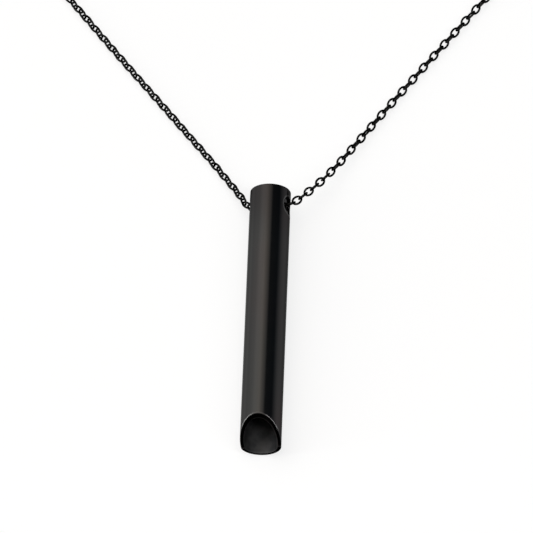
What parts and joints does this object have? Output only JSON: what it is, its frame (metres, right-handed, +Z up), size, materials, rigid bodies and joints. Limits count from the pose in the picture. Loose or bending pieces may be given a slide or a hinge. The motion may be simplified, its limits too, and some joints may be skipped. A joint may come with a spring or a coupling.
{
  "type": "tube whistle pendant necklace",
  "caption": "Slim black steel tube with a slanting open mouth and a cross hole, threaded on a fine cable chain with a lobster clasp and extender.",
  "frame": {"origin": "on the resting surface, under the middle of the tube's length", "axes": "+Y along the tube from its mouth to its square end, +Z up from the resting surface, +X to the right of the mouth as seen from the mouth end"},
  "size_m": [0.1022, 0.1313, 0.008],
  "materials": {
    "tube": "black ion-plated stainless steel, satin polished",
    "chain": "black ion-plated steel wire",
    "clasp": "black ion-plated cast steel",
    "spring": "bare spring steel"
  },
  "bodies": {
    "chain": {"chain_left_run": "chain", "chain_left_coil": "chain", "chain_left_tail": "chain", "chain_left_end_link": "chain", "chain_right_run": "chain", "chain_right_coil": "chain", "chain_right_tail": "chain", "chain_right_end_link": "chain"},
    "tube": {"tube": "tube"},
    "clasp_ring": {"clasp_ring": "chain"},
    "clasp": {"clasp_body": "clasp", "clasp_pin": "clasp", "clasp_spring": "spring"},
    "clasp_lever": {"clasp_lever": "clasp"},
    "extender_ring": {"extender_ring": "chain"},
    "extender_link_1": {"extender_link_1": "chain"},
    "extender_link_2": {"extender_link_2": "chain"},
    "extender_link_3": {"extender_link_3": "chain"},
    "extender_link_4": {"extender_link_4": "chain"},
    "extender_link_5": {"extender_link_5": "chain"},
    "extender_link_6": {"extender_link_6": "chain"},
    "extender_link_7": {"extender_link_7": "chain"},
    "extender_drop": {"extender_drop": "chain"}
  },
  "joints": [
    {"name": "tube_swing", "type": "hinge", "parent": "chain", "child": "tube", "pos_m": [0, 0.0239, 0.004], "axis": [-0.9511, 0, -0.309], "range_deg": [0, 150]},
    {"name": "clasp_ring_swing", "type": "hinge", "parent": "chain", "child": "clasp_ring", "pos_m": [-0.03267, 0.1013, 0.0016], "axis": [0, 0, 1], "range_deg": [-25, 25]},
    {"name": "clasp_swing", "type": "hinge", "parent": "clasp_ring", "child": "clasp", "pos_m": [-0.02954, 0.10115, 0.0013], "axis": [0, 0, 1], "range_deg": [-25, 25]},
    {"name": "lever_press", "type": "hinge", "parent": "clasp", "child": "clasp_lever", "pos_m": [-0.02674, 0.1, 0.0013], "axis": [0, 0, 1], "range_deg": [0, 20], "stiffness_Nm_per_rad": 0.0003, "springref_deg": -20.05},
    {"name": "extender_ring_swing", "type": "hinge", "parent": "chain", "child": "extender_ring", "pos_m": [0.01657, 0.0888, 0.00165], "axis": [0, 0, 1], "range_deg": [-25, 25]},
    {"name": "extender_link_1_swing", "type": "hinge", "parent": "extender_ring", "child": "extender_link_1", "pos_m": [0.01353, 0.0888, 0.00165], "axis": [0, 0, 1], "range_deg": [-25, 25]},
    {"name": "extender_link_2_swing", "type": "hinge", "parent": "extender_link_1", "child": "extender_link_2", "pos_m": [0.00937, 0.0888, 0.00165], "axis": [0, 0, 1], "range_deg": [-25, 25]},
    {"name": "extender_link_3_swing", "type": "hinge", "parent": "extender_link_2", "child": "extender_link_3", "pos_m": [0.00529, 0.0888, 0.00165], "axis": [0, 0, 1], "range_deg": [-25, 25]},
    {"name": "extender_link_4_swing", "type": "hinge", "parent": "extender_link_3", "child": "extender_link_4", "pos_m": [0.00121, 0.0888, 0.00165], "axis": [0, 0, 1], "range_deg": [-25, 25]},
    {"name": "extender_link_5_swing", "type": "hinge", "parent": "extender_link_4", "child": "extender_link_5", "pos_m": [-0.00287, 0.0888, 0.00165], "axis": [0, 0, 1], "range_deg": [-25, 25]},
    {"name": "extender_link_6_swing", "type": "hinge", "parent": "extender_link_5", "child": "extender_link_6", "pos_m": [-0.00695, 0.0888, 0.00165], "axis": [0, 0, 1], "range_deg": [-25, 25]},
    {"name": "extender_link_7_swing", "type": "hinge", "parent": "extender_link_6", "child": "extender_link_7", "pos_m": [-0.01103, 0.0888, 0.00165], "axis": [0, 0, 1], "range_deg": [-25, 25]},
    {"name": "extender_drop_swing", "type": "hinge", "parent": "extender_link_7", "child": "extender_drop", "pos_m": [-0.01519, 0.0888, 0.00165], "axis": [0, 0, 1], "range_deg": [-25, 25]}
  ]
}
